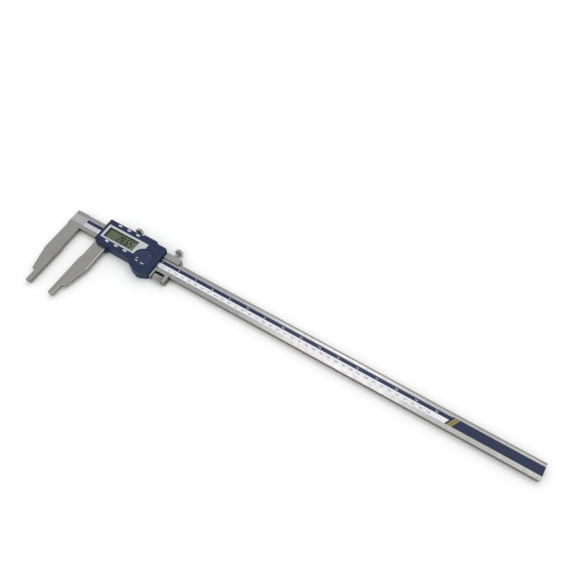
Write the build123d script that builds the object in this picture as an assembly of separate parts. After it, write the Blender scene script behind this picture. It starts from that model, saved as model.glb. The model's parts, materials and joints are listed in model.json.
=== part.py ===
from build123d import *
import math
import os

# Long-jaw digital caliper, 500 mm range, lying on its back. Millimetres.
# X runs along the beam from the fixed jaw's measuring face, Y across the beam from
# its centre line with the jaws pointing to -Y, Z up from the beam's back face.
# Parts on the slider and the carriage are laid out from the moving jaw's measuring
# face, and stand OPENING further along X at rest.

# ---- Driving dimensions ----------------------------------------------------------
OPENING = 28.65                # opening at rest, the value on the display
PLAY = 0.1                     # sliding play between the beam and what runs on it
GAP = 0.05                     # clearance around a part that is set in place
SLIP = 0.02                    # clearance around a pin or a screw's thread
OVER = 1.0                     # how far a cut runs past the face that it opens

# Beam, with the scale strip and its printed label sunk into the front face
BEAM_HALF = 11.5               # half the beam's width
BEAM_T = 5.8                   # beam thickness
BEAM_END = 633.6
HEAD_END = -3.5                # where the fixed jaw's head meets the beam
TONGUE = (10.5, 5.0, 1.5, 4.3)  # length, half width, back and front of the tongue
TONGUE_END_GAP = 0.3
PIN_R = 1.2                    # pins through the tongue
PIN_Y = (-2.6, 2.6)
BEAM_CORNERS = (3.0, 0.8)      # rounding of the far corners, lower and upper
CHANNEL_Y = (-5.7, 6.3)
CHANNEL_FLOOR = 4.8
LABEL_START = 0.2
RECESS = 0.25                  # shallow recess of the channel across the head
BEVEL_Y = 9.0                  # the beam's top edge is bevelled from here outwards
BEVEL_Z = 5.0
PRINT_T = 0.2                  # label thickness
LABEL_TOP = 5.7
END_GAP = 0.2

# Jaws, outlines given as distance behind the measuring face
JAW_W = 20.2
JAW_BACK = 0.8                 # jaws are 5 mm thick, flush with the beam's front
RELIEF = 1.1                   # clearance cut above the measuring face
RELIEF_END = -44.9
TAPER_Y = -56.0
STEP_Y = -90.4
STEP_W = 12.6
NIB_W = 7.8                    # inside-measuring nib
NIB_ROUND = 2.3
TIP_Y = -107.0
TIP_CUT = 1.1

# Steel slider frame
FRAME_X = (1.1, 87.35)
FRAME_HALF = 17.0
RAIL_TOP = 5.9
GIB_Y = (11.55, 12.65)
GIB_Z = (0.3, 5.2)
GIB_END_GAP = 1.0
UPPER_RAIL_Y = 12.7
BRIDGE_TOP = 7.9
BRIDGES_X = ((1.1, 6.35), (83.15, 87.35))
BRIDGE_CUT = ((1.1, -13.7), (5.0, -17.0))  # bevelled corner under the cover's corner
ROD_LUG_X = 71.0               # where the lug for the feed rod starts
ROD_LUG_WALL = 4.0
PLATE_Z = (-2.1, -0.1)         # back plate, and the carriage's web

# Moulded front cover
COVER_TOP = 12.2
COVER_BOTTOM = -1.6
COVER_WALL = 1.1
COVER_CEILING = 11.0
COVER_LEFT = 0.75
COVER_RIGHT = 91.25
COVER_UPPER = 19.3
BOSS_R = 2.0                   # bosses for the cover's screws
COVER_LOWER = -18.2
HUMP_Y = 21.9
EDGE_ROUND = 2.8
TOP_ROUND = 0.6
BEAM_OPENING_GAP = 0.4         # around what passes through the cover's walls

# Display
WINDOW_X = (8.15, 54.25)
WINDOW_Y = (-6.9, 8.6)
WINDOW_Z = (10.97, 12.1)
BEZEL_X = (4.85, 66.6)
BEZEL_Y = (-9.25, 11.75)
BEZEL_Z = (11.5, 12.35)
BEZEL_BITE = 13.6              # radius of the bezel's hollow beside the battery cover
LCD_Z = (7.8, 8.9)
CONNECTOR_X = (9.0, 53.0)
CONNECTOR_Y = ((-8.3, -7.3), (8.9, 9.9))
CHIP = (30.0, 1.0, 4.0, 0.55)  # place, radius and height of the potted chip
BOARD_X = (7.95, 82.75)
BOARD_Y = (-16.4, 17.9)
BOARD_Z = (5.9, 7.1)

# Buttons
KEY_X = (17.75, 31.95, 46.15)
KEY_ROWS = {"top": 16.4, "bottom": -11.4}
KEY_NAMES = ("left", "middle", "right")
KEY_SIZE = (5.6, 2.8)
KEY_TOP = 12.8
KEY_ROUND = 0.45
KEY_FLANGE_T = 0.8
KEY_STEM_R = 1.2
KEY_TRAVEL = 0.6
DOME_TOP = 7.5

# Battery compartment
CELL_AT = (71.55, -7.9)
CELL_R = 10.0
CELL_Z = (7.45, 10.65)
LEAF_T = 0.25                  # thickness of the contact leaves
HOLDER_TOP = 9.5
DOOR_R = 12.3
DOOR_GROOVE = (0.55, 0.4)      # width and depth of the groove around the battery cover
DOOR_CHAMFER = 0.3
DOOR_SKIRT_R = 11.55
SEAL_R = 11.07
SEAL_Z = (10.55, 11.0)
SHELF_R = 11.75
SHELF_Z = (10.4, 11.05)
LUG_ANGLES = (40.0, 160.0, 280.0)
LUG_SPAN = 22.0
DOOR_TURN = 45.0               # turn from locked to free

# Screws
THREAD_Z = 2.9                 # height of the lock and gib screws, mid beam
M3_R = 1.5
M3_HOLE_R = 1.55
M2_R = 1.0
M2_HOLE_R = 1.05
M2_HEAD_R = 1.9
HEAD_T = 0.95                  # thickness of the cheese heads
DRIVER_SLOT = 0.5              # width and depth of the driver slots
COVER_SCREW_TIP = 10.4
PLATE_SCREW_TIP = 3.0
COVER_SCREWS = [(x, y) for x in (4.35, 85.35) for y in (-14.3, 14.8)]
PLATE_SCREWS = [(x, y) for x in (26.35, 61.35) for y in (-14.3, 14.8)]
GIB_SCREW_X = (13.35, 77.35)
GIB_SCREW_SUNK = 0.2
LOCK_X = 39.35
KNOB_Y = (24.6, 29.2)
KNOB_R = 5.4
KNOB_CHAMFER = 0.6
NECK_R = 2.6
NECK_L = 1.4
PAD_R = 1.48
PAD_L = 1.25

# Fine-adjustment carriage
CARRIAGE_X = (92.25, 114.35)
CARRIAGE_Y = (-22.8, 17.0)
CARRIAGE_TOP = 8.1
CARRIAGE_FOOT = -0.9           # underside of the fork's side
CARRIAGE_WEB_Y = -16.0         # the web behind the beam ends here
CARRIAGE_CORNER = 2.5
LIP_Y = (-9.1, 8.6)            # edges of the lips over the beam's front face
FORK_X = (95.15, 109.65)
FORK_TOP = -12.7
CARRIAGE_LOCK_X = 102.35
FEED_Y = -18.9                 # axis of the feed rod and thumb nut
FEED_Z = 3.0
FEED_ROD_X = (75.35, 112.35)
ROD_CHAMFER = 0.4
NUT_X = (95.95, 108.85)
NUT_R = 4.6
NUT_BOSS_R = 2.6
NUT_CHAMFER = 0.4
NUT_END_PLAY = 0.08

# Back stop near the beam's far end
STOP_X = (622.5, 629.0)
STOP_HALF = 7.0
STOP_T = 1.9
STOP_SCREW_Y = (-4.0, 4.0)
STOP_SCREW_TIP = 3.6
STOP_SCREW_R = 1.2
STOP_HEAD_R = 2.2


# ---- Shapes used throughout ------------------------------------------------------
def block(x, y, z):
    """Box between the low and high values in x, y and z."""
    size = [high - low for low, high in (x, y, z)]
    centre = [(high + low) / 2 for low, high in (x, y, z)]
    return Pos(*centre) * Box(*size)


def inset(span, amount):
    return (span[0] + amount, span[1] - amount)


def disc(at, z, radius):
    """Cylinder standing along Z at the point (x, y)."""
    return Pos(at[0], at[1], sum(z) / 2) * Cylinder(radius, z[1] - z[0])


def ring(at, z, inner, outer):
    return disc(at, z, outer) - disc(at, z, inner)


def bar_x(x, y, z, radius):
    """Cylinder lying along X."""
    return Pos(sum(x) / 2, y, z) * Rot(0, 90, 0) * Cylinder(radius, x[1] - x[0])


def bar_y(x, y, z, radius):
    """Cylinder lying along Y."""
    return Pos(x, sum(y) / 2, z) * Rot(90, 0, 0) * Cylinder(radius, y[1] - y[0])


def flat(corners):
    """Face bounded by a polygon given as (x, y, corner radius) points."""
    points = [corner[:2] for corner in corners]
    radii = [corner[2] for corner in corners]
    return make_face(FilletPolyline(*points, radius=radii, close=True))


def plate(corners, z):
    """Flat plate over the polygon given as (x, y, corner radius) points."""
    return Pos(0, 0, z[0]) * extrude(flat(corners), z[1] - z[0])


def prism(points, z):
    """Flat plate over a sharp-cornered polygon."""
    return plate([(x, y, 0) for x, y in points], z)


def stadium(at, size, z):
    """Upright bar with a slot-shaped section."""
    return Pos(at[0], at[1], z[0]) * extrude(SlotOverall(*size), z[1] - z[0])


def sectors(at, z, inner, outer, angles, span):
    """Pieces of a ring, each span degrees wide and centred on an angle."""
    half = math.radians(span / 2)
    reach = outer * 1.5
    wedge = [(0, 0), (reach, reach * math.tan(-half)), (reach, reach * math.tan(half))]
    piece = ring((0, 0), z, inner, outer) & prism(wedge, z)
    return [Pos(at[0], at[1], 0) * Rot(0, 0, angle) * piece for angle in angles]


def group(pieces):
    """Separate solids kept together in one node."""
    return Compound(children=[solid for piece in pieces for solid in piece.solids()])


# ---- Beam and fixed jaw ----------------------------------------------------------
def jaw(face_x, side, root_y):
    """Jaw blade whose measuring face is at face_x and whose body lies to the side."""
    corners = [
        (RELIEF, root_y, 0),
        (RELIEF, RELIEF_END + RELIEF / 2, 0),
        (0, RELIEF_END - RELIEF / 2, 0),
        (0, TIP_Y + TIP_CUT, 0),
        (TIP_CUT, TIP_Y, 0),
        (NIB_W - TIP_CUT, TIP_Y, 0),
        (NIB_W, TIP_Y + TIP_CUT, 0),
        (NIB_W, STEP_Y, 0.6),
        (STEP_W, STEP_Y + 1.2, 0.5),
        (JAW_W, TAPER_Y, 14.0),
        (JAW_W, root_y, 0),
    ]
    corners = [(face_x + side * u, y, r) for u, y, r in corners]
    blade = plate(corners, (JAW_BACK, BEAM_T))
    nib_x = face_x + side * NIB_W
    nib_edges = blade.edges().filter_by(Axis.Y).filter_by_position(Axis.X, nib_x - 0.01, nib_x + 0.01)
    return fillet(nib_edges, NIB_ROUND)


def pin_points():
    return [(HEAD_END - TONGUE[0] / 2, y) for y in PIN_Y]


def tongue(gap, end_gap):
    """Tongue of the beam, or with gaps the socket for it in the fixed jaw's head."""
    length, half, back, front = TONGUE
    x = (HEAD_END - length - end_gap, HEAD_END)
    return block(x, (-half - gap, half + gap), (back - gap, front + gap))


def fixed_jaw():
    head = block((-JAW_W, HEAD_END), (-BEAM_HALF, BEAM_HALF), (0, BEAM_T))
    head = fillet(head.edges().filter_by(Axis.Z).sort_by(Axis.X)[:2].sort_by(Axis.Y)[-1:], 0.8)
    body = head + jaw(0, -1, -BEAM_HALF)
    body -= tongue(GAP, TONGUE_END_GAP)
    body -= block((-JAW_W, HEAD_END), CHANNEL_Y, (BEAM_T - RECESS, BEAM_T))
    for at in pin_points():
        body -= disc(at, (0, TONGUE[2]), PIN_R + SLIP)
    return body


def stop_screw_points():
    return [(sum(STOP_X) / 2, y) for y in STOP_SCREW_Y]


def beam():
    body = block((HEAD_END, BEAM_END), (-BEAM_HALF, BEAM_HALF), (0, BEAM_T))
    ends = body.edges().filter_by(Axis.Z).sort_by(Axis.X)[2:].sort_by(Axis.Y)
    body = fillet(ends[0], BEAM_CORNERS[0])
    ends = body.edges().filter_by(Axis.Z).sort_by(Axis.X)[-1:]
    body = fillet(ends, BEAM_CORNERS[1])
    body += tongue(0, 0)
    bevel = flat([(BEVEL_Y, BEAM_T, 0), (BEAM_HALF, BEVEL_Z, 0), (BEAM_HALF, BEAM_T, 0)])
    body -= extrude(Plane.YZ.offset(HEAD_END) * bevel, BEAM_END - HEAD_END)
    body -= block((HEAD_END, LABEL_START), CHANNEL_Y, (BEAM_T - RECESS, BEAM_T))
    body -= block((LABEL_START, BEAM_END + OVER), CHANNEL_Y, (CHANNEL_FLOOR, BEAM_T))
    for at in pin_points():
        body -= disc(at, (TONGUE[2], TONGUE[3]), PIN_R + SLIP)
    for at in stop_screw_points():
        body -= disc(at, (0, STOP_SCREW_TIP + OVER / 5), STOP_SCREW_R + SLIP)
    return body


def jaw_pins():
    return group([disc(at, (0, TONGUE[3]), PIN_R) for at in pin_points()])


def label_area(z):
    low, high = CHANNEL_Y
    return block((LABEL_START + END_GAP, BEAM_END - END_GAP), (low + GAP, high - GAP), z)


def scale_strip():
    return label_area((CHANNEL_FLOOR, LABEL_TOP - PRINT_T))


def scale_label():
    return label_area((LABEL_TOP - PRINT_T, LABEL_TOP))


def end_stop():
    body = block(STOP_X, (-STOP_HALF, STOP_HALF), (-STOP_T, 0))
    for at in stop_screw_points():
        body -= disc(at, (-STOP_T, 0), STOP_SCREW_R + GAP)
        body -= disc(at, (-STOP_T, HEAD_T + GAP - STOP_T), STOP_HEAD_R + GAP)
    return body


def end_stop_screws():
    points = stop_screw_points()
    return group([headed_screw(at, -STOP_T, STOP_SCREW_TIP, STOP_SCREW_R, STOP_HEAD_R) for at in points])


def headed_screw(at, head_z, tip_z, radius, head_radius):
    """Cheese-head screw put in from the back, with a driver slot in its head."""
    screw = disc(at, (head_z, head_z + HEAD_T), head_radius)
    screw += disc(at, (head_z + HEAD_T, tip_z), radius)
    slot_x = (at[0] - head_radius, at[0] + head_radius)
    slot_y = (at[1] - DRIVER_SLOT / 2, at[1] + DRIVER_SLOT / 2)
    return screw - block(slot_x, slot_y, (head_z, head_z + DRIVER_SLOT))


# ---- Slider: steel frame, back plate and gib -------------------------------------
def rod_lug():
    """Steel lug under the lower rail that the feed rod screws into."""
    return block((ROD_LUG_X, FRAME_X[1]), (FEED_Y - ROD_LUG_WALL, -FRAME_HALF), (-PLAY, RAIL_TOP))


def slider_frame():
    rail_z = (-PLAY, RAIL_TOP)
    body = block(FRAME_X, (-FRAME_HALF, -BEAM_HALF - PLAY), rail_z)
    body += block(FRAME_X, (UPPER_RAIL_Y, FRAME_HALF), rail_z)
    for x in BRIDGES_X:
        body += block(x, (-FRAME_HALF, FRAME_HALF), (RAIL_TOP, BRIDGE_TOP))
    body -= prism([*BRIDGE_CUT, (FRAME_X[0], -FRAME_HALF)], (RAIL_TOP, BRIDGE_TOP + OVER))
    body += rod_lug()
    body += jaw(0, 1, -BEAM_HALF - PLAY)
    for at in COVER_SCREWS:
        body -= disc(at, (-OVER, BRIDGE_TOP + OVER), M2_HOLE_R + GAP)
    for at in PLATE_SCREWS:
        body -= disc(at, (-OVER, PLATE_SCREW_TIP + OVER / 2), M2_HOLE_R)
    for x in (*GIB_SCREW_X, LOCK_X):
        body -= bar_y(x, (UPPER_RAIL_Y - OVER, FRAME_HALF + OVER), THREAD_Z, M3_HOLE_R)
    return body - bar_x((FEED_ROD_X[0], FRAME_X[1] + OVER), FEED_Y, FEED_Z, M3_R + SLIP)


def back_plate():
    low = -FRAME_HALF
    corners = [
        (FRAME_X[0], FRAME_HALF, 1.0),
        (FRAME_X[1], FRAME_HALF, 1.0),
        (FRAME_X[1], -23.0, 1.0),
        (79.5, -27.0, 2.0),
        (75.5, -27.4, 2.0),
        (67.3, -24.6, 3.0),
        (55.6, low, 3.0),
        (FRAME_X[0], low, 1.0),
    ]
    body = plate(corners, PLATE_Z)
    for at in COVER_SCREWS + PLATE_SCREWS:
        body -= disc(at, PLATE_Z, M2_HOLE_R + GAP)
        body -= disc(at, (PLATE_Z[0], PLATE_Z[0] + HEAD_T + GAP), M2_HEAD_R + GAP)
    return body


def cover_screws():
    return group([headed_screw(at, PLATE_Z[0], COVER_SCREW_TIP, M2_R, M2_HEAD_R) for at in COVER_SCREWS])


def back_plate_screws():
    return group([headed_screw(at, PLATE_Z[0], PLATE_SCREW_TIP, M2_R, M2_HEAD_R) for at in PLATE_SCREWS])


def gib_strip():
    return block(inset(FRAME_X, GIB_END_GAP), GIB_Y, GIB_Z)


def gib_screws():
    """Headless set screws, slotted at their outer end."""
    outer = FRAME_HALF - GIB_SCREW_SUNK
    slot_z = (THREAD_Z - DRIVER_SLOT / 2, THREAD_Z + DRIVER_SLOT / 2)
    screws = []
    for x in GIB_SCREW_X:
        screw = bar_y(x, (GIB_Y[1], outer), THREAD_Z, M3_R)
        slot_x = (x - M3_R - OVER, x + M3_R + OVER)
        screws.append(screw - block(slot_x, (outer - DRIVER_SLOT, outer), slot_z))
    return group(screws)


def feed_rod():
    rod = bar_x(FEED_ROD_X, FEED_Y, FEED_Z, M3_R)
    return chamfer(rod.edges().filter_by(GeomType.CIRCLE), ROD_CHAMFER)


# ---- Slider: front cover ---------------------------------------------------------
def cover_outline():
    return [
        (COVER_LEFT, COVER_UPPER, 1.2),
        (51.55, COVER_UPPER, 0.8),
        (53.05, HUMP_Y, 1.0),
        (72.2, HUMP_Y, 1.8),
        (76.2, COVER_UPPER, 1.8),
        (COVER_RIGHT, COVER_UPPER, 4.0),
        (COVER_RIGHT, -21.5, 2.0),
        (87.85, -25.2, 3.0),
        (79.85, -28.8, 3.0),
        (75.35, -29.2, 3.0),
        (66.85, -26.2, 4.0),
        (54.35, COVER_LOWER, 4.0),
        (4.5, COVER_LOWER, 0.8),
        (COVER_LEFT, -15.0, 0.8),
    ]


def rounded_right_side(z):
    """Tall block whose upper edge on the +X side is rounded."""
    corners = [
        (-5, z[0], 0),
        (COVER_RIGHT, z[0], 0),
        (COVER_RIGHT, z[1], EDGE_ROUND),
        (-5, z[1], 0),
    ]
    return extrude(Plane.XZ.offset(-40) * flat(corners), 80)


def bezel_plate(margin, z):
    """Rectangle around the window with a round bite beside the battery cover."""
    x = (BEZEL_X[0] - margin, BEZEL_X[1] + margin)
    y = (BEZEL_Y[0] - margin, BEZEL_Y[1] + margin)
    return block(x, y, z) - disc(CELL_AT, z, BEZEL_BITE - margin)


def key_points():
    points = {}
    for row, y in KEY_ROWS.items():
        for name, x in zip(KEY_NAMES, KEY_X):
            points[f"button_{row}_{name}"] = (x, y)
    return points


def battery_shelf():
    """Inner ledge with three notches that the battery cover's lugs drop through."""
    shelf = ring(CELL_AT, SHELF_Z, SHELF_R, DOOR_R + 0.9)
    notch_angles = [angle + DOOR_TURN for angle in LUG_ANGLES]
    for notch in sectors(CELL_AT, SHELF_Z, SHELF_R - 0.5, DOOR_R + 0.15, notch_angles, LUG_SPAN + 5):
        shelf -= notch
    return shelf


def cover_shell():
    """Outer moulding, hollow from behind and open for the beam, jaw and screws."""
    solid = plate(cover_outline(), (COVER_BOTTOM, COVER_TOP))
    solid = fillet(solid.faces().sort_by(Axis.Z)[-1].edges(), TOP_ROUND)
    solid &= rounded_right_side((COVER_BOTTOM - OVER, COVER_TOP))
    inside = offset(flat(cover_outline()), -COVER_WALL)
    under = COVER_BOTTOM - OVER
    solid -= Pos(0, 0, under) * extrude(inside, COVER_CEILING - under)
    frame_end = (COVER_LEFT - OVER, FRAME_X[0] + OVER - GAP)
    solid -= block(frame_end, (-FRAME_HALF - GAP, FRAME_HALF + 0.6), (under, BRIDGE_TOP + GAP))
    jaw_root = (COVER_LOWER - OVER, -FRAME_HALF + 4)
    solid -= block((0, JAW_W + 0.2), jaw_root, (under, RAIL_TOP + GAP))
    right_wall = (COVER_RIGHT - 2 * OVER, COVER_RIGHT + OVER)
    beam_half = BEAM_HALF + BEAM_OPENING_GAP
    solid -= block(right_wall, (-beam_half, beam_half), (under, BEAM_T + BEAM_OPENING_GAP))
    solid -= bar_x(right_wall, FEED_Y, FEED_Z, M3_R + BEAM_OPENING_GAP)
    for x in (*GIB_SCREW_X, LOCK_X):
        solid -= bar_y(x, (FRAME_HALF, HUMP_Y + OVER), THREAD_Z, M3_R + BEAM_OPENING_GAP)
    return solid


def jaw_web():
    """Small moulded web beside the root of the moving jaw."""
    corners = [(20.4, -17.6, 0), (24.6, -17.6, 0), (23.2, -20.2, 1.0), (20.4, -23.4, 0)]
    return plate(corners, (JAW_BACK, BEAM_T))


def front_cover():
    body = cover_shell() + jaw_web() + battery_shelf()
    for at in COVER_SCREWS:
        body += disc(at, (BRIDGE_TOP + GAP, COVER_CEILING), BOSS_R)
        body -= disc(at, (BRIDGE_TOP, COVER_SCREW_TIP + 0.2), M2_HOLE_R)
    above = COVER_TOP + OVER
    body -= block(WINDOW_X, WINDOW_Y, (SHELF_Z[0], above))
    body -= bezel_plate(GAP, (BEZEL_Z[0], above))
    for at in key_points().values():
        hole = [size + 4 * GAP for size in KEY_SIZE]
        body -= stadium(at, hole, (COVER_CEILING - OVER / 2, above))
    body -= disc(CELL_AT, (SHELF_Z[1], above), DOOR_R + 2 * GAP)
    body -= disc(CELL_AT, (COVER_TOP - DOOR_GROOVE[1], above), DOOR_R + DOOR_GROOVE[0])
    return body - disc(CELL_AT, SHELF_Z, SHELF_R)


def bezel():
    body = bezel_plate(0, BEZEL_Z) - block(WINDOW_X, WINDOW_Y, BEZEL_Z)
    return chamfer(body.faces().sort_by(Axis.Z)[-1].edges(), 0.2)


# ---- Slider: display and electronics ---------------------------------------------
def display_window():
    """Clear window that closes the display's opening."""
    return block(inset(WINDOW_X, GAP), inset(WINDOW_Y, GAP), WINDOW_Z)


def lcd_glass():
    return block(inset(WINDOW_X, -0.8), inset(WINDOW_Y, -1.7), LCD_Z)


def lcd_frame():
    """Black frame that holds the display glass down on its connectors."""
    x = inset(WINDOW_X, -1.7)
    y = inset(WINDOW_Y, -2.55)
    body = block(x, y, (BOARD_Z[1] + GAP, COVER_CEILING - GAP))
    body -= block(inset(x, 0.8), inset(y, 0.75), (BOARD_Z[1], LCD_Z[1] + GAP))
    return body - block(inset(WINDOW_X, 2 * GAP), inset(WINDOW_Y, 2 * GAP), (BOARD_Z[1], COVER_CEILING))


def lcd_connectors():
    """Two rubber strips that join the display glass to the board."""
    return group([block(CONNECTOR_X, y, (BOARD_Z[1], LCD_Z[0])) for y in CONNECTOR_Y])


def circuit_board():
    return block(BOARD_X, BOARD_Y, BOARD_Z)


def controller_chip():
    x, y, radius, height = CHIP
    drop = disc((x, y), (BOARD_Z[1], BOARD_Z[1] + height), radius)
    return fillet(drop.faces().sort_by(Axis.Z)[-1].edges(), height - GAP)


def key_domes():
    """Snap domes under the buttons."""
    domes = [disc(at, (BOARD_Z[1], DOME_TOP), 1.5) for at in key_points().values()]
    return group([chamfer(dome.faces().sort_by(Axis.Z)[-1].edges(), 0.3, 0.6) for dome in domes])


def button(at):
    """Key cap, its retaining flange and the plunger over the dome."""
    cap = stadium(at, KEY_SIZE, (COVER_CEILING - 2 * GAP, KEY_TOP))
    cap = fillet(cap.faces().sort_by(Axis.Z)[-1].edges(), KEY_ROUND)
    flange_z = (COVER_CEILING - KEY_FLANGE_T, COVER_CEILING - GAP)
    flange = stadium(at, (KEY_SIZE[0] + 1.2, KEY_SIZE[1] + 0.1), flange_z)
    return cap + flange + disc(at, (DOME_TOP + KEY_TRAVEL + 0.1, flange_z[0]), KEY_STEM_R)


# ---- Battery compartment ---------------------------------------------------------
def coin_cell():
    cell = disc(CELL_AT, CELL_Z, CELL_R)
    return chamfer(cell.faces().sort_by(Axis.Z)[0].edges(), 0.6)


def battery_holder():
    """Ring on the board around the cell, open on one side for the side contact."""
    body = ring(CELL_AT, (BOARD_Z[1] + GAP, HOLDER_TOP), CELL_R + 0.15, CELL_R + 1.3)
    gap_x = (CELL_AT[0] + CELL_R - 1.5, CELL_AT[0] + CELL_R + 2)
    return body - block(gap_x, (CELL_AT[1] - 2.3, CELL_AT[1] + 2.3), (BOARD_Z[1], HOLDER_TOP + OVER))


def contact_positive():
    """Bent leaf against the cell's rim."""
    x = CELL_AT[0] + CELL_R + 2 * GAP
    y = (CELL_AT[1] - 2.0, CELL_AT[1] + 2.0)
    leaf = block((x, x + LEAF_T), y, (BOARD_Z[1], 10.2))
    return leaf + block((x, BOARD_X[1] - GAP), y, (BOARD_Z[1], BOARD_Z[1] + LEAF_T))


def contact_negative():
    """Flat leaf under the cell."""
    x, y = CELL_AT
    return block((x - 5.5, x + 5.5), (y - 2.5, y + 2.5), (BOARD_Z[1], CELL_Z[0] - GAP))


def battery_cover():
    """Round cover with a skirt, three bayonet lugs and a groove for its seal."""
    door = disc(CELL_AT, (SHELF_Z[1] + GAP, COVER_TOP), DOOR_R)
    door = chamfer(door.faces().sort_by(Axis.Z)[-1].edges(), DOOR_CHAMFER)
    skirt_z = (SHELF_Z[0] - 0.6, SHELF_Z[1] + GAP)
    door += ring(CELL_AT, skirt_z, DOOR_SKIRT_R - 0.85, DOOR_SKIRT_R)
    lug_z = (skirt_z[0], SHELF_Z[0] - GAP)
    for lug in sectors(CELL_AT, lug_z, DOOR_SKIRT_R - 0.4, DOOR_R, LUG_ANGLES, LUG_SPAN):
        door += lug
    groove_z = (SEAL_Z[0] - SLIP, SEAL_Z[1] + SLIP)
    return door - ring(CELL_AT, groove_z, SEAL_R - SLIP, DOOR_SKIRT_R + 0.3)


def battery_seal():
    return ring(CELL_AT, SEAL_Z, SEAL_R, SHELF_R - GAP)


# ---- Lock screws -----------------------------------------------------------------
def lock_pad(x, seat_y):
    """Brass pad that the screw pushes, at rest one play clear of what it clamps."""
    return bar_y(x, (seat_y + PLAY, seat_y + PLAY + PAD_L), THREAD_Z, PAD_R)


def lock_screw(x, seat_y):
    """Thumb screw: thread, tapered neck and a flat round head."""
    shank = bar_y(x, (seat_y + PLAY + PAD_L, KNOB_Y[0]), THREAD_Z, M3_R)
    head = bar_y(x, KNOB_Y, THREAD_Z, KNOB_R)
    head = chamfer(head.edges().filter_by(GeomType.CIRCLE), KNOB_CHAMFER)
    neck = Pos(x, KNOB_Y[0] - NECK_L / 2, THREAD_Z) * Rot(90, 0, 0) * Cone(NECK_R, M3_R, NECK_L)
    return shank + head + neck


# ---- Fine-adjustment carriage ----------------------------------------------------
def carriage_frame():
    """Collar around the beam with a fork for the thumb nut under it."""
    low, high = CARRIAGE_Y
    body = block(CARRIAGE_X, (BEAM_HALF + PLAY, high), (PLATE_Z[0], CARRIAGE_TOP))
    body += block(CARRIAGE_X, (low, -BEAM_HALF - PLAY), (CARRIAGE_FOOT, CARRIAGE_TOP))
    body += block(CARRIAGE_X, (CARRIAGE_WEB_Y, high), PLATE_Z)
    lip_z = (RAIL_TOP, CARRIAGE_TOP)
    body += block(CARRIAGE_X, (LIP_Y[1], high), lip_z) + block(CARRIAGE_X, (low, LIP_Y[0]), lip_z)
    corners = body.edges().filter_by(Axis.Z).filter_by_position(Axis.Y, low - GAP, low + GAP)
    body = fillet(corners.sort_by(Axis.X)[-1:], CARRIAGE_CORNER)
    body -= block(FORK_X, (low - OVER, FORK_TOP), (PLATE_Z[0] - OVER, CARRIAGE_TOP + OVER))
    body -= bar_x(inset(CARRIAGE_X, -OVER), FEED_Y, FEED_Z, M3_R + 3 * GAP)
    body -= bar_y(CARRIAGE_LOCK_X, (BEAM_HALF, high + OVER), THREAD_Z, M3_HOLE_R)
    return body


def thumb_nut():
    body = bar_x(NUT_X, FEED_Y, FEED_Z, NUT_R)
    body = chamfer(body.edges().filter_by(GeomType.CIRCLE), NUT_CHAMFER)
    body += bar_x(inset(FORK_X, NUT_END_PLAY), FEED_Y, FEED_Z, NUT_BOSS_R)
    return body - bar_x(FORK_X, FEED_Y, FEED_Z, M3_HOLE_R)


# ---- All nodes -------------------------------------------------------------------
ON_BEAM = {
    "beam": beam,
    "fixed_jaw": fixed_jaw,
    "jaw_pins": jaw_pins,
    "scale_strip": scale_strip,
    "scale_label": scale_label,
    "end_stop": end_stop,
    "end_stop_screws": end_stop_screws,
}

ON_SLIDER = {
    "slider_frame": slider_frame,
    "back_plate": back_plate,
    "back_plate_screws": back_plate_screws,
    "cover_screws": cover_screws,
    "gib_strip": gib_strip,
    "gib_screws": gib_screws,
    "feed_rod": feed_rod,
    "front_cover": front_cover,
    "bezel": bezel,
    "display_window": display_window,
    "lcd_glass": lcd_glass,
    "lcd_frame": lcd_frame,
    "lcd_connectors": lcd_connectors,
    "circuit_board": circuit_board,
    "controller_chip": controller_chip,
    "key_domes": key_domes,
    "coin_cell": coin_cell,
    "battery_holder": battery_holder,
    "contact_positive": contact_positive,
    "contact_negative": contact_negative,
    "battery_cover": battery_cover,
    "battery_seal": battery_seal,
    "slider_lock_pad": lambda: lock_pad(LOCK_X, GIB_Y[1]),
    "slider_lock_screw": lambda: lock_screw(LOCK_X, GIB_Y[1]),
    "carriage_frame": carriage_frame,
    "thumb_nut": thumb_nut,
    "carriage_lock_pad": lambda: lock_pad(CARRIAGE_LOCK_X, BEAM_HALF),
    "carriage_lock_screw": lambda: lock_screw(CARRIAGE_LOCK_X, BEAM_HALF),
}


def write_node(name, shape):
    solids = shape.solids()
    node = solids[0] if len(solids) == 1 else Compound(children=list(solids))
    node.label = name
    export_step(node, f"parts/{name}.step")


def main():
    os.makedirs("parts", exist_ok=True)
    for name, build in ON_BEAM.items():
        write_node(name, build())
    for name, build in ON_SLIDER.items():
        write_node(name, Pos(OPENING, 0, 0) * build())
    for name, at in key_points().items():
        write_node(name, Pos(OPENING, 0, 0) * button(at))


main()
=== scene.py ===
import json
import math

import bpy
from mathutils import Matrix, Vector


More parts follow.
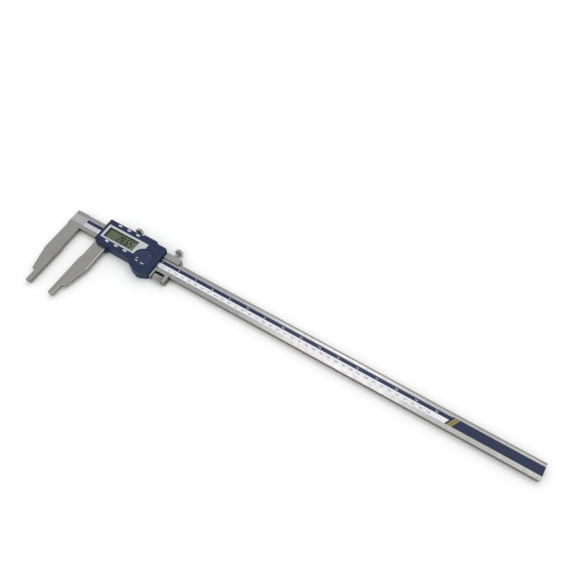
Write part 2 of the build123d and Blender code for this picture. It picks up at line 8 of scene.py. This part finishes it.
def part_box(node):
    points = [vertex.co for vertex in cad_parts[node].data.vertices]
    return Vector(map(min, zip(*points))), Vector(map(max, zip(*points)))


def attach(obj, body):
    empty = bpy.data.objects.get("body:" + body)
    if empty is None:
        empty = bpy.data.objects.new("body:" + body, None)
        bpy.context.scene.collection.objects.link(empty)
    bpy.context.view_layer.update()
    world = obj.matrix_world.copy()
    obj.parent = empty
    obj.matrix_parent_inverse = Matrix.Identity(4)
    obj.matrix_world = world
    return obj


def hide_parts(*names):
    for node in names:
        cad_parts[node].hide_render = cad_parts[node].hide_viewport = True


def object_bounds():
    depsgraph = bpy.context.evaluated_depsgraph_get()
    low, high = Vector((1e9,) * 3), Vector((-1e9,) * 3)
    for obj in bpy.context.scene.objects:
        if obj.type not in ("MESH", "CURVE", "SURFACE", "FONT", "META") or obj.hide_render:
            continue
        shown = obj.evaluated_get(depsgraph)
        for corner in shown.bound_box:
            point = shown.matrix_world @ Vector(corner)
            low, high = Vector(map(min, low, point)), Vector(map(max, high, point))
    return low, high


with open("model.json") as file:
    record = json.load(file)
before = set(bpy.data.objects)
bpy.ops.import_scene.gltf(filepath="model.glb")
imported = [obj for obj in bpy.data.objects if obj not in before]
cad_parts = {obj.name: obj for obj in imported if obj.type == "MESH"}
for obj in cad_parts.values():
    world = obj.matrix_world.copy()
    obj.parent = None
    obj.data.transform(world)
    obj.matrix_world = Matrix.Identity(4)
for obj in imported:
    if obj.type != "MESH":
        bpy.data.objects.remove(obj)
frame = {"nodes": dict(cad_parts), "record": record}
CAD_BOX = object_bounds()
NODES = frame["nodes"]
MM = 0.001

# Distances in the row frame, in millimetres, that the printed details need
SCALE_ZERO_X = -4.8            # where the printed scales count from
SCALE_FIRST_X = 23.0           # where their marks begin
LABEL_Z = (5.5, 5.7)
LABEL_SPLIT_Y = 0.6            # dark band above, white band below
LABEL_RIM = 0.75               # pale rim of the dark band
SLANT = 0.54                   # lean of the stripes at the scale's end
STRIPE_X = 520.6               # where the first stripe crosses the centre line
HEAD_FILM_MARGIN = 0.3         # from the head's left side to the film in its recess
HEAD_FILM_LIFT = 0.04
HEAD_FILM_T = 0.06
STRIPE_STEPS = (0, 2.3, 4.9, 5.6, 8.3)   # edges of the stripes, from the first one's
PRINT_LIFT = 0.03              # how far ink stands off what it is printed on
PRINT_SUNK = 0.01              # how far it reaches into it
NUMBER_GAP = 0.4               # from a mark to the number beside it
MM_NUMBER = (-3.15, 1.75)      # middle and height of the millimetre numbers
MM_MARK_TOP = -1.3
MM_MARK_LONG = 2.6
INCH = 25.4
INCH_STEPS = 20                # fine marks in an inch
INCH_NUMBER = (2.6, 2.0)
INCH_MARK_TOP = 4.7
INCH_MARK_LONG = 3.0
MARK_SHORT = 0.6
MARK_MIDDLE = 0.85
MARK_W = 0.2
FINE_MARK_W = 0.18
LAST_MM = 500
LAST_INCH = 20

DISPLAY_X = (53.0, 58.5, 65.5, 71.0)     # left edges of the display's figures
DISPLAY_Y = (-4.1, 6.8)
FIGURE_W = 4.7
FIGURE_STROKE = 1.55
FIGURE_LEAN = 0.10
POINT_OFFSET = 5.15            # decimal point, from the left edge of the figure before it
POINT_W = 1.35

THREAD_PITCH = 0.5
THREAD_R = 1.5
KNOB_R = 5.4
KNOB_L = 4.6
NUT_R = 4.6
NUT_HUB_R = 2.6
NUT_BORE_R = 1.55
NUT_HUB_L = 0.72


# ---- Node materials --------------------------------------------------------------
class Nodes:
    """A material's node tree, with short calls for the nodes that the looks use."""

    def __init__(self, name):
        self.material = bpy.data.materials.new(name)
        self.material.use_nodes = True
        self.tree = self.material.node_tree
        self.tree.nodes.clear()
        out = self.tree.nodes.new("ShaderNodeOutputMaterial")
        self.shader = self.tree.nodes.new("ShaderNodeBsdfPrincipled")
        self.tree.links.new(self.shader.outputs["BSDF"], out.inputs["Surface"])
        self.place = self.tree.nodes.new("ShaderNodeTexCoord").outputs["Object"]

    def put(self, socket, value):
        if isinstance(value, bpy.types.NodeSocket):
            self.tree.links.new(value, socket)
        else:
            socket.default_value = value

    def add(self, kind, sockets=(), **settings):
        node = self.tree.nodes.new(kind)
        for key, value in settings.items():
            setattr(node, key, value)
        for key, value in dict(sockets).items():
            self.put(node.inputs[key], value)
        return node

    def noise(self, scale, stretch=(1, 1, 1), detail=2.0, roughness=0.5):
        """Noise with features of about 1/scale metres, drawn out along an axis by a small stretch."""
        at = self.add("ShaderNodeMapping", {"Vector": self.place, "Scale": stretch}).outputs[0]
        sockets = {"Vector": at, "Scale": scale, "Detail": detail, "Roughness": roughness}
        return self.add("ShaderNodeTexNoise", sockets).outputs["Fac"]

    def spread(self, value, low, high, start=0.0, end=1.0):
        sockets = {"Value": value, "From Min": start, "From Max": end, "To Min": low, "To Max": high}
        return self.add("ShaderNodeMapRange", sockets).outputs["Result"]

    def blend(self, share, a, b):
        node = self.add("ShaderNodeMix", data_type="RGBA")
        self.put(node.inputs[0], share)
        self.put(node.inputs[6], a)
        self.put(node.inputs[7], b)
        return node.outputs[2]

    def edges(self, radius, start=0.02, end=0.22):
        """1 along edges sharper than the radius, in metres, and 0 on flat faces."""
        bevel = self.add("ShaderNodeBevel", {"Radius": radius}, samples=4).outputs[0]
        face = self.add("ShaderNodeNewGeometry").outputs["Normal"]
        dot = self.add("ShaderNodeVectorMath", operation="DOT_PRODUCT")
        self.put(dot.inputs[0], bevel)
        self.put(dot.inputs[1], face)
        return self.spread(dot.outputs["Value"], 1.0, 0.0, 1 - end, 1 - start)

    def sides(self):
        """0 on faces that look along the row frame's Z, 1 on upright ones."""
        normal = self.add("ShaderNodeTexCoord").outputs["Normal"]
        up = self.add("ShaderNodeSeparateXYZ", {"Vector": normal}).outputs["Z"]
        level = self.add("ShaderNodeMath", operation="ABSOLUTE")
        self.put(level.inputs[0], up)
        return self.spread(level.outputs[0], 1.0, 0.0, 0.25, 0.85)

    def creases(self, distance, start=0.35, end=0.85):
        """1 in grooves narrower than the distance, in metres, and 0 on open faces."""
        around = self.add("ShaderNodeAmbientOcclusion", {"Distance": distance}, samples=4).outputs["AO"]
        return self.spread(around, 1.0, 0.0, start, end)

    def bump(self, height, distance, strength=1.0):
        sockets = {"Height": height, "Distance": distance, "Strength": strength}
        self.put(self.shader.inputs["Normal"], self.add("ShaderNodeBump", sockets).outputs[0])

    def set(self, **values):
        for key, value in values.items():
            self.put(self.shader.inputs[key.replace("_", " ")], value)


def grey(value, warm=0.0):
    return (value * (1 + warm), value, value * (1 - warm), 1)


def ground_steel(name, level, grain, roughness=(0.22, 0.32), rub=1.35):
    """Steel with fine grinding lines and painted shade on its upright faces. grain is the small stretch
    value's axis.
    """
    n = Nodes(name)
    stretch = tuple(0.012 if axis == grain else 1.0 for axis in "XYZ")
    lines = n.noise(2600, stretch, 3.0, 0.6)
    broad = n.noise(55, detail=3.0)
    base = n.spread(lines, 0, 1, 0.3, 0.7)
    base = n.blend(base, grey(level * 0.86, 0.022), grey(level * 1.12, 0.018))
    speckle = n.noise(750, detail=4.0, roughness=0.7)
    base = n.blend(n.spread(speckle, 0, 0.5, 0.50, 0.68), base, grey(level * 0.80, 0.03))
    base = n.blend(n.spread(speckle, 0.4, 0, 0.34, 0.48), base, grey(level * 1.2, 0.01))
    stained_and_side_shaded = n.blend(n.spread(broad, 0, 0.5, 0.45, 0.8), base, grey(level * 0.80, 0.03))
    # Upright faces darkened to 0.62 of the level: painted shade on the sides turned away from the
    # light.
    stained_and_side_shaded = n.blend(n.sides(), stained_and_side_shaded, grey(level * 0.62, 0.03))
    worn_and_side_shaded = n.blend(n.edges(0.0005), stained_and_side_shaded, grey(min(level * rub, 0.95), 0.0))
    smear = n.noise(140, detail=2.0)
    n.set(Base_Color=worn_and_side_shaded, Metallic=1.0)
    n.set(Roughness=n.spread(smear, *roughness, 0.3, 0.7))
    n.bump(lines, 0.00001, 0.35)
    return n.material


def turned_steel(name, level, axis):
    """Bright steel with faint rings round the axis it was turned on."""
    n = Nodes(name)
    stretch = tuple(1.0 if a == axis else 0.02 for a in "XYZ")
    rings = n.noise(5200, stretch, 2.0)
    grime_and_crease_shade = n.noise(900, detail=3.0)
    base = n.blend(n.spread(rings, 0, 1, 0.35, 0.65), grey(level * 0.92), grey(level * 1.06))
    dull = n.blend(n.spread(grime_and_crease_shade, 0, 0.45, 0.5, 0.75), base, grey(level * 0.6, 0.04))
    n.set(Base_Color=n.blend(n.edges(0.00025), dull, grey(level * 1.7)), Metallic=1.0)
    n.set(Roughness=n.spread(grime_and_crease_shade, 0.26, 0.42, 0.3, 0.7))
    n.bump(rings, 0.000006, 0.3)
    return n.material


def moulded(name, colour, roughness, grain=4200, depth=0.00002, wear_and_highlight=1.8, coat=0.0, gloss=0.26):
    """Moulded plastic: fine spark-eroded grain, faint mottling, lighter rubbed edges that on bright
    trim are partly a painted highlight, and painted shade in creases.
    """
    n = Nodes(name)
    fine = n.noise(grain, detail=3.0, roughness=0.6)
    cloud = n.noise(90, detail=3.0)
    dark = tuple(c * 0.93 for c in colour[:3]) + (1,)
    light = tuple(min(c * 1.06, 1) for c in colour[:3]) + (1,)
    rubbed_and_highlit = tuple(min(c * wear_and_highlight + 0.003, 1) for c in colour[:3]) + (1,)
    base = n.blend(n.spread(cloud, 0, 1, 0.3, 0.7), dark, light)
    # Edges lightened by the wear factor: rubbed wear, and on bright trim also a painted highlight.
    base = n.blend(n.spread(n.edges(0.00035), 0, 0.6), base, rubbed_and_highlit)
    # Creases and gaps darkened to 0.35 of the colour: painted shade where light doesn't reach.
    grime_and_crease_shade = tuple(c * 0.35 for c in colour[:3]) + (1,)
    n.set(Base_Color=n.blend(n.creases(0.0012), base, grime_and_crease_shade))
    n.set(Roughness=n.spread(n.noise(260), roughness[0], roughness[1], 0.3, 0.7))
    n.set(Coat_Weight=coat, Coat_Roughness=0.2, Specular_IOR_Level=gloss)
    n.bump(fine, depth, 0.5)
    return n.material


def printed(name, colour, roughness=0.3, coat=0.05):
    """Ink or film under a thin clear layer, a little uneven."""
    n = Nodes(name)
    mottle = n.noise(400, detail=2.0)
    low = tuple(c * 0.93 for c in colour[:3]) + (1,)
    high = tuple(min(c * 1.05, 1) for c in colour[:3]) + (1,)
    n.set(Base_Color=n.blend(n.spread(mottle, 0, 1, 0.35, 0.65), low, high))
    n.set(Roughness=n.spread(n.noise(150), roughness, roughness + 0.12, 0.3, 0.7))
    n.set(Coat_Weight=coat, Coat_Roughness=0.12, Specular_IOR_Level=0.2)
    n.bump(n.noise(1800), 0.000004, 0.3)
    return n.material


def display_glass():
    """Grey-green reflective display, with painted shade darkening it towards its left end."""
    n = Nodes("display_glass")
    mottle = n.noise(700, detail=2.0)
    along = n.add("ShaderNodeSeparateXYZ", {"Vector": n.place}).outputs["X"]
    left = n.blend(mottle, (0.138, 0.168, 0.108, 1), (0.160, 0.195, 0.125, 1))
    right = n.blend(mottle, (0.205, 0.225, 0.155, 1), (0.225, 0.250, 0.175, 1))
    # Darker at the left end, lighter to the right: painted shade from the display's recess.
    n.set(Base_Color=n.blend(n.spread(along, 0, 1, 0.050, 0.082), left, right))
    n.set(Roughness=n.spread(n.noise(300), 0.22, 0.30), Specular_IOR_Level=0.2)
    return n.material


def clear_window():
    n = Nodes("clear_window")
    smear = n.noise(120, detail=3.0)
    n.set(Base_Color=(0.02, 0.025, 0.022, 1), Alpha=0.08, IOR=1.45)
    n.set(Roughness=n.spread(smear, 0.03, 0.10, 0.35, 0.7))
    return n.material


def yellow_metal():
    n = Nodes("brass")
    tarnish = n.noise(500, detail=3.0)
    share = n.spread(tarnish, 0, 1, 0.35, 0.7)
    n.set(Base_Color=n.blend(share, (0.62, 0.46, 0.20, 1), (0.38, 0.27, 0.12, 1)))
    n.set(Metallic=1.0, Roughness=n.spread(tarnish, 0.25, 0.45, 0.3, 0.7))
    return n.material


def lacquered_board():
    n = Nodes("board_green")
    weave = n.noise(1500, (1, 0.3, 1), 2.0)
    n.set(Base_Color=n.blend(weave, (0.016, 0.085, 0.045, 1), (0.030, 0.150, 0.080, 1)))
    n.set(Roughness=n.spread(n.noise(200), 0.25, 0.4), Coat_Weight=0.4)
    n.bump(weave, 0.00001, 0.3)
    return n.material


NAVY = (0.0088, 0.0212, 0.0640, 1)
STEEL = 0.335
MATERIALS = {
    "steel_x": ground_steel("steel_along_beam", STEEL, "X"),
    "steel_y": ground_steel("steel_along_jaw", STEEL * 0.98, "Y"),
    "screw_steel": turned_steel("screw_steel", 0.34, "Z"),
    "bright_y": turned_steel("bright_steel_y", 0.34, "Y"),
    "bright_x": turned_steel("bright_steel_x", 0.28, "X"),
    "brass": yellow_metal(),
    "navy_plastic": moulded("navy_plastic", NAVY, (0.40, 0.52), wear_and_highlight=1.1),
    "navy_lid": moulded("navy_lid", (0.0200, 0.0285, 0.0780, 1), (0.36, 0.46), wear_and_highlight=1.1),
    # The silver trim's edges are lightened to 1.35 times its colour: partly rubbed wear, partly a
    # painted highlight rim.
    "silver_trim": moulded(
        "silver_trim", (0.49, 0.515, 0.55, 1), (0.28, 0.38), 3000, 0.000008, 1.35, coat=0.1, gloss=0.4
    ),
    "clear_window": clear_window(),
    "display_glass": display_glass(),
    "black_plastic": moulded("black_plastic", (0.010, 0.010, 0.012, 1), (0.45, 0.6)),
    "grey_keys": moulded("grey_keys", (0.50, 0.54, 0.60, 1), (0.45, 0.55), 3600, 0.00002, 1.15),
    "soft_rubber": moulded("soft_rubber", (0.018, 0.018, 0.018, 1), (0.6, 0.75)),
    "board_green": lacquered_board(),
    "print_navy": printed("print_navy", (0.0150, 0.0240, 0.0650, 1)),
    "print_white": printed("print_white", (0.77, 0.77, 0.81, 1)),
    "print_pale": printed("print_pale", (0.54, 0.53, 0.58, 1)),
    "print_blue": printed("print_blue", (0.10, 0.12, 0.20, 1)),
    "print_silver": printed("print_silver", (0.375, 0.375, 0.385, 1), 0.25, 0.1),
    "print_gold": printed("print_gold", (0.28, 0.235, 0.095, 1)),
    "print_black": printed("print_black", (0.012, 0.014, 0.022, 1)),
    "display_ink": printed("display_ink", (0.012, 0.014, 0.010, 1), 0.35, 0.0),
}
ALONG_JAW = ("fixed_jaw", "slider_frame")
BY_SLOT = {"satin_steel": "steel_x", "bright_steel": "bright_y", "scale_print": "print_white"}


def dress(obj, key):
    obj.data.materials.clear()
    obj.data.materials.append(MATERIALS[key])


for part in frame["record"]["subparts"]:
    key = BY_SLOT.get(part["material_slot"], part["material_slot"])
    if part["node"] in ALONG_JAW:
        key = "steel_y"
    if part["node"] == "battery_cover":
        key = "navy_lid"
    dress(NODES[part["node"]], key)


# ---- Meshes built in code --------------------------------------------------------
class Build:
    """Vertices, in millimetres in the row frame, and faces of one piece."""

    def __init__(self):
        self.points = []
        self.faces = []

    def prism(self, outline, z):
        """Closed slab over a convex or simple outline that runs counter-clockwise."""
        first, count = len(self.points), len(outline)
        self.points += [(x, y, z[0]) for x, y in outline] + [(x, y, z[1]) for x, y in outline]
        self.faces.append([first + i for i in reversed(range(count))])
        self.faces.append([first + count + i for i in range(count)])
        for i in range(count):
            j = (i + 1) % count
            self.faces.append([first + i, first + j, first + count + j, first + count + i])

    def box(self, x, y, z):
        self.prism([(x[0], y[0]), (x[1], y[0]), (x[1], y[1]), (x[0], y[1])], z)

    def grid(self, rows, closed_ends=True, ring=False):
        """Skin over rows of points, each row a closed loop. ring joins the last row to the first."""
        first, count = len(self.points), len(rows[0])
        for row in rows:
            self.points += row
        pairs = len(rows) if ring else len(rows) - 1
        for r in range(pairs):
            a = first + r * count
            b = first + ((r + 1) % len(rows)) * count
            for i in range(count):
                j = (i + 1) % count
                self.faces.append([a + i, a + j, b + j, b + i])
        if closed_ends and not ring:
            last = first + (len(rows) - 1) * count
            self.faces.append([first + i for i in reversed(range(count))])
            self.faces.append([last + i for i in range(count)])

    def piece(self, name, material, body, slot, smooth=False):
        mesh = bpy.data.meshes.new(name)
        mesh.from_pydata([[c * MM for c in p] for p in self.points], [], self.faces)
        mesh.validate()
        mesh.update()
        obj = bpy.data.objects.new(name, mesh)
        bpy.context.scene.collection.objects.link(obj)
        mesh.materials.append(MATERIALS[material])
        if smooth:
            mesh.shade_smooth()
            mesh.set_sharp_from_angle(angle=math.radians(38))
        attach(obj, body)
        return obj


def centre_of(node):
    low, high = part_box(node)
    return [(a + b) / 2 / MM for a, b in zip(low, high)]


def span_of(node, axis):
    low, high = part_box(node)
    return low[axis] / MM, high[axis] / MM


def loop(radius_at, along, axis, centre, count):
    """Closed loop of points round an axis through centre, with radius_at(angle)."""
    row = []
    for i in range(count):
        angle = 2 * math.pi * i / count
        a, b = radius_at(angle) * math.cos(angle), radius_at(angle) * math.sin(angle)
        if axis == "Y":
            row.append((centre[0] + b, along, centre[2] + a))
        else:
            row.append((along, centre[1] + a, centre[2] + b))
    return row


def thread_rows(start, end, radius, axis, centre, count=24, per_pitch=5, depth=0.16):
    """Rows of a helical thread between two places on an axis, plain for a moment at each end."""
    steps = max(2, round((end - start) / THREAD_PITCH * per_pitch))
    rows = []
    for s in range(steps + 1):
        along = start + (end - start) * s / steps
        fade = min(1, 4 * s / steps * (end - start), 4 * (steps - s) / steps * (end - start))

        def radius_at(angle, along=along, fade=fade):
            phase = (along / THREAD_PITCH - angle / (2 * math.pi)) % 1
            return radius - depth * fade * abs(2 * phase - 1)

        rows.append(loop(radius_at, along, axis, centre, count))
    return rows


def knurl_rows(profile, teeth, axis, centre):
    """Rows from (along, radius, tooth depth) points, with straight V teeth where the depth isn't 0."""
    count = teeth * 4
    rows = []
    for along, radius, depth in profile:

        def radius_at(angle, radius=radius, depth=depth):
            phase = (angle * teeth / (2 * math.pi)) % 1
            return radius - depth * min(1, 1.6 * abs(2 * phase - 1))

        rows.append(loop(radius_at, along, axis, centre, count))
    return rows


# ---- Thumb screws, nut and feed rod ----------------------------------------------
def thumb_screw(node, body):
    """Knurled head with a dished end, tapered neck and threaded shank."""
    centre = centre_of(node)
    low, high = span_of(node, 1)
    head, edge = high - KNOB_L, KNOB_R
    neck = [
        (head - 1.4, 1.42, 0),
        (head - 0.6, 2.1, 0),
        (head - 0.02, 2.6, 0),
        (head, 4.6, 0),
        (head + 0.35, 5.05, 0),
        (head + 0.55, edge - 0.1, 0.0),
        (head + 0.75, edge, 0.34),
        (high - 0.95, edge, 0.34),
        (high - 0.7, edge - 0.1, 0.0),
        (high - 0.3, 4.95, 0),
        (high, 4.5, 0),
        (high, 3.3, 0),
        (high - 0.35, 2.9, 0),
        (high - 0.35, 0.5, 0),
    ]
    build = Build()
    build.grid(knurl_rows(neck, 44, "Y", centre))
    build.grid(thread_rows(low, head - 1.3, THREAD_R, "Y", centre))
    piece = build.piece(node + "_turned", "bright_y", body, "bright_steel", smooth=True)
    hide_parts(node)


def feed_nut():
    """Knurled thumb nut with plain hubs at both ends and a through bore."""
    node = "thumb_nut"
    centre = centre_of(node)
    low, high = span_of(node, 0)
    radius, hub, bore = NUT_R, NUT_HUB_R, NUT_BORE_R
    left, right = low + NUT_HUB_L, high - NUT_HUB_L
    profile = [
        (low, bore, 0),
        (low, hub - 0.15, 0),
        (low + 0.15, hub, 0),
        (left, hub, 0),
        (left, radius - 0.7, 0),
        (left + 0.35, radius - 0.12, 0),
        (left + 0.6, radius, 0.32),
        (right - 0.6, radius, 0.32),
        (right - 0.35, radius - 0.12, 0),
        (right, radius - 0.7, 0),
        (right, hub, 0),
        (high - 0.15, hub, 0),
        (high, hub - 0.15, 0),
        (high, bore, 0),
    ]
    build = Build()
    build.grid(knurl_rows(profile, 40, "X", centre), closed_ends=False, ring=True)
    piece = build.piece("thumb_nut_turned", "bright_x", "thumb_nut", "bright_steel", smooth=True)
    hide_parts(node)


def feed_screw():
    """Rod threaded from end to end."""
    centre = centre_of("feed_rod")
    low, high = span_of("feed_rod", 0)
    build = Build()
    build.grid(thread_rows(low, high, THREAD_R, "X", centre))
    piece = build.piece("feed_rod_threaded", "bright_x", "slider", "screw_steel", smooth=True)
    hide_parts("feed_rod")


thumb_screw("slider_lock_screw", "slider_lock_screw")
thumb_screw("carriage_lock_screw", "carriage_lock_screw")
feed_nut()
feed_screw()


# ---- Printed scale ---------------------------------------------------------------
def slant_x(x, y):
    return x + SLANT * y


def band(left, right, y, lean_left=True, lean_right=True):
    """Outline between two X values on the centre line, with slanted ends where asked."""
    low, high = y
    corners = [(left, low), (right, low), (right, high), (left, high)]
    leans = [lean_left, lean_right, lean_right, lean_left]
    return [(slant_x(x, y) if lean else x, y) for (x, y), lean in zip(corners, leans)]


def label_films():
    """The label is separate fields of film laid side by side."""
    left, right = span_of("scale_label", 0)
    low, high = span_of("scale_label", 1)
    stripes = [STRIPE_X + step for step in STRIPE_STEPS]
    whole = (low, high)
    rim = high - LABEL_RIM
    fields = {
        "film_white": (
            "print_white",
            [band(SCALE_FIRST_X, stripes[0], (low, LABEL_SPLIT_Y), False)],
        ),
        "film_pale": (
            "print_pale",
            [
                band(left, SCALE_FIRST_X, (low, LABEL_SPLIT_Y), False, False),
                band(left, stripes[0], (rim, high), False),
                band(left, left + LABEL_RIM, (LABEL_SPLIT_Y, rim), False, False),
            ],
        ),
        "film_navy": (
            "print_navy",
            [
                band(left + LABEL_RIM, stripes[0], (LABEL_SPLIT_Y, rim), False),
                band(stripes[4] + LABEL_RIM, right - LABEL_RIM, (low + LABEL_RIM, rim), True, False),
            ],
        ),
        "film_black": (
            "print_black",
            [
                band(stripes[0], stripes[1], whole),
                band(stripes[2], stripes[3], whole),
                band(stripes[4], right, (low, low + LABEL_RIM), True, False),
                band(stripes[4], right, (rim, high), True, False),
                band(stripes[4], stripes[4] + LABEL_RIM, (low + LABEL_RIM, rim)),
                band(right - LABEL_RIM, right, (low + LABEL_RIM, rim), False, False),
            ],
        ),
        "film_gold": (
            "print_gold",
            [band(stripes[1], stripes[2], whole), band(stripes[3], stripes[4], whole)],
        ),
    }
    for name, (material, outlines) in fields.items():
        build = Build()
        for outline in outlines:
            build.prism(outline, LABEL_Z)
        piece = build.piece(name, material, "beam", "scale_print")
        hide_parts("scale_label")


def figures(build, text, x, y, height):
    """Adds a generic number, printed on the label, whose left edge is at x and middle at y."""
    z = LABEL_Z[1] + PRINT_LIFT / 2
    curve = bpy.data.curves.new("figures", "FONT")
    curve.body = text
    curve.size = height * 1.4 * MM
    curve.extrude = PRINT_LIFT / 2 * MM
    curve.offset = 0.015 * MM
    curve.resolution_u = 4
    curve.align_y = "CENTER"
    holder = bpy.data.objects.new("figures", curve)
    bpy.context.scene.collection.objects.link(holder)
    bpy.context.view_layer.update()
    solid = holder.evaluated_get(bpy.context.evaluated_depsgraph_get())
    mesh = bpy.data.meshes.new_from_object(solid)
    first = len(build.points)
    build.points += [(v.co.x / MM + x, v.co.y / MM + y, v.co.z / MM + z) for v in mesh.vertices]
    build.faces += [[first + i for i in face.vertices] for face in mesh.polygons]
    bpy.data.objects.remove(holder)
    bpy.data.meshes.remove(mesh)
    bpy.data.curves.remove(curve)


def tick(build, x, top, length, width=MARK_W):
    z = (LABEL_Z[1] - PRINT_SUNK, LABEL_Z[1] + PRINT_LIFT)
    build.box((x - width / 2, x + width / 2), (top - length, top), z)


def first_mark(step):
    """Number of the first mark, counted in steps from the scale's zero."""
    return math.ceil((SCALE_FIRST_X - SCALE_ZERO_X) / step)


def millimetre_scale():
    build = Build()
    for reading in range(first_mark(1), LAST_MM + 1):
        x = SCALE_ZERO_X + reading
        length = MARK_SHORT
        if reading % 5 == 0:
            length = MARK_MIDDLE
        if reading % 10 == 0:
            length = MM_MARK_LONG
            figures(build, str(reading), x + NUMBER_GAP, *MM_NUMBER)
        tick(build, x, MM_MARK_TOP, length)
    build.piece("scale_millimetres", "print_black", "beam", "scale_print")


def inch_scale():
    build = Build()
    fine = Build()
    for step in range(first_mark(INCH / INCH_STEPS), LAST_INCH * INCH_STEPS + 1):
        x = SCALE_ZERO_X + step * INCH / INCH_STEPS
        if step % INCH_STEPS == 0:
            figures(build, str(step // INCH_STEPS), x + NUMBER_GAP, *INCH_NUMBER)
            tick(build, x, INCH_MARK_TOP, INCH_MARK_LONG)
        else:
            length = MARK_MIDDLE if step % 2 == 0 else MARK_SHORT
            tick(fine, x, INCH_MARK_TOP, length, FINE_MARK_W)
    build.piece("scale_inches", "print_white", "beam", "scale_print")
    fine.piece("scale_inch_steps", "print_blue", "beam", "scale_print")


def head_film():
    """Pale film that carries the label's recess on across the fixed jaw's head."""
    build = Build()
    left = span_of("fixed_jaw", 0)[0]
    low, high = span_of("scale_label", 1)
    bottom = LABEL_Z[0] + HEAD_FILM_LIFT
    build.box((left + HEAD_FILM_MARGIN, 0), (low, high), (bottom, bottom + HEAD_FILM_T))
    build.piece("head_film", "print_silver", "beam", "scale_print")


label_films()
head_film()
millimetre_scale()
inch_scale()


# ---- Display figures and the marks on the battery cover --------------------------
SEGMENTS = {"2": "abged", "8": "abcdefg", "6": "afgedc", "5": "afgcd"}


def segment(name, width, height, stroke):
    """Six-sided bar of a seven-segment figure, in its own box."""
    gap, half = 0.10, stroke / 2
    left, right = half, width - half
    bottom, middle, top = half, height / 2, height - half
    flat = {"a": top, "g": middle, "d": bottom}
    if name in flat:
        y = flat[name]
        return [
            (left + gap, y),
            (left + gap + half, y - half),
            (right - gap - half, y - half),
            (right - gap, y),
            (right - gap - half, y + half),
            (left + gap + half, y + half),
        ]
    x = right if name in "bc" else left
    low, high = (middle, top) if name in "bf" else (bottom, middle)
    return [
        (x, low + gap),
        (x + half, low + gap + half),
        (x + half, high - gap - half),
        (x, high - gap),
        (x - half, high - gap - half),
        (x - half, low + gap + half),
    ]


def display_figures():
    build = Build()
    top = span_of("lcd_glass", 2)[1]
    z = (top - PRINT_SUNK, top + PRINT_LIFT)
    low, high = DISPLAY_Y
    for left, figure in zip(DISPLAY_X, "2865"):
        for name in SEGMENTS[figure]:
            outline = segment(name, FIGURE_W, high - low, FIGURE_STROKE)
            build.prism([(left + x + FIGURE_LEAN * y, low + y) for x, y in outline], z)
    point = DISPLAY_X[1] + POINT_OFFSET
    build.box((point, point + POINT_W), (low, low + POINT_W), z)
    build.piece("display_figures", "display_ink", "slider", "display_glass")


# Outlines of the battery cover's marks, from its centre: a pointer, two dashes and a faint tick
LID_MARKS = (
    ((-6.7, -4.4), (-4.0, -4.0), (-5.8, -2.8)),
    ((-6.3, -7.3), (-2.6, -7.8), (-2.5, -7.0), (-6.2, -6.5)),
    ((2.3, -8.0), (6.8, -7.8), (6.8, -6.9), (2.3, -7.1)),
    ((6.3, 6.4), (7.0, 6.8), (6.7, 7.2), (6.1, 6.8)),
)
LID_MARK_LIFT = 0.04


def lid_marks():
    build = Build()
    top = span_of("battery_cover", 2)[1]
    middle = centre_of("battery_cover")
    for outline in LID_MARKS:
        placed = [(middle[0] + x, middle[1] + y) for x, y in outline]
        build.prism(placed, (top - PRINT_SUNK, top + LID_MARK_LIFT))
    build.piece("lid_marks", "print_white", "battery_cover", "silver_trim")


display_figures()
lid_marks()


# ---- Stage, light and camera -----------------------------------------------------
def floor():
    bottom = CAD_BOX[0][2]
    reach = 6.0
    mesh = bpy.data.meshes.new("floor")
    signs = ((-1, -1), (1, -1), (1, 1), (-1, 1))
    corners = [(reach * x, reach * y, bottom) for x, y in signs]
    mesh.from_pydata(corners, [], [[0, 1, 2, 3]])
    obj = bpy.data.objects.new("floor", mesh)
    bpy.context.scene.collection.objects.link(obj)
    n = Nodes("pale_floor")
    n.set(Base_Color=n.blend(n.noise(8), (0.965, 0.96, 0.95, 1), (0.98, 0.975, 0.965, 1)))
    n.set(Roughness=0.9, Specular_IOR_Level=0.1)
    mesh.materials.append(n.material)


def area_light(name, at, target, size, radiance):
    """Soft box at a place in metres, aimed at a target, as bright as its radiance says."""
    data = bpy.data.lights.new(name, "AREA")
    data.shape = "RECTANGLE"
    data.size, data.size_y = size
    data.energy = radiance * math.pi * size[0] * size[1]
    obj = bpy.data.objects.new(name, data)
    direction = Vector(at) - Vector(target)
    obj.rotation_euler = direction.to_track_quat("Z", "Y").to_euler()
    obj.location = at
    bpy.context.scene.collection.objects.link(obj)


def light():
    world = bpy.data.worlds.new("studio")
    bpy.context.scene.world = world
    world.use_nodes = True
    background = world.node_tree.nodes["Background"]
    background.inputs["Color"].default_value = (0.98, 0.99, 1.0, 1)
    background.inputs["Strength"].default_value = 0.9
    area_light("soft_box", (0.15, 0.72, 1.55), (0.30, 0.0, 0.0), (0.52, 0.8), 2.7)
    area_light("end_box", (0.93, 0.70, 1.5), (0.60, 0.0, 0.0), (0.36, 0.7), 1.35)
    area_light("front_fill", (-0.6, -1.3, 1.6), (0.25, 0.0, 0.0), (1.2, 1.0), 1.0)


def camera():
    """Looks from the jaws' side, with its axes and place given in the row frame, in metres."""
    data = bpy.data.cameras.new("camera")
    data.lens = 43.08
    data.sensor_width = 36.0
    data.clip_start = 0.01
    obj = bpy.data.objects.new("camera", data)
    right = (0.856824, 0.515117, 0.022528)
    up = (-0.450506, 0.726670, 0.518647)
    back = (0.250794, -0.454538, 0.854691)
    at = (0.4932, -0.3367, 0.7400)
    obj.matrix_world = Matrix([[right[i], up[i], back[i], at[i]] for i in range(3)] + [[0, 0, 0, 1]])
    bpy.context.scene.collection.objects.link(obj)
    bpy.context.scene.camera = obj


floor()
light()
camera()
bpy.context.scene.view_settings.view_transform = "Standard"
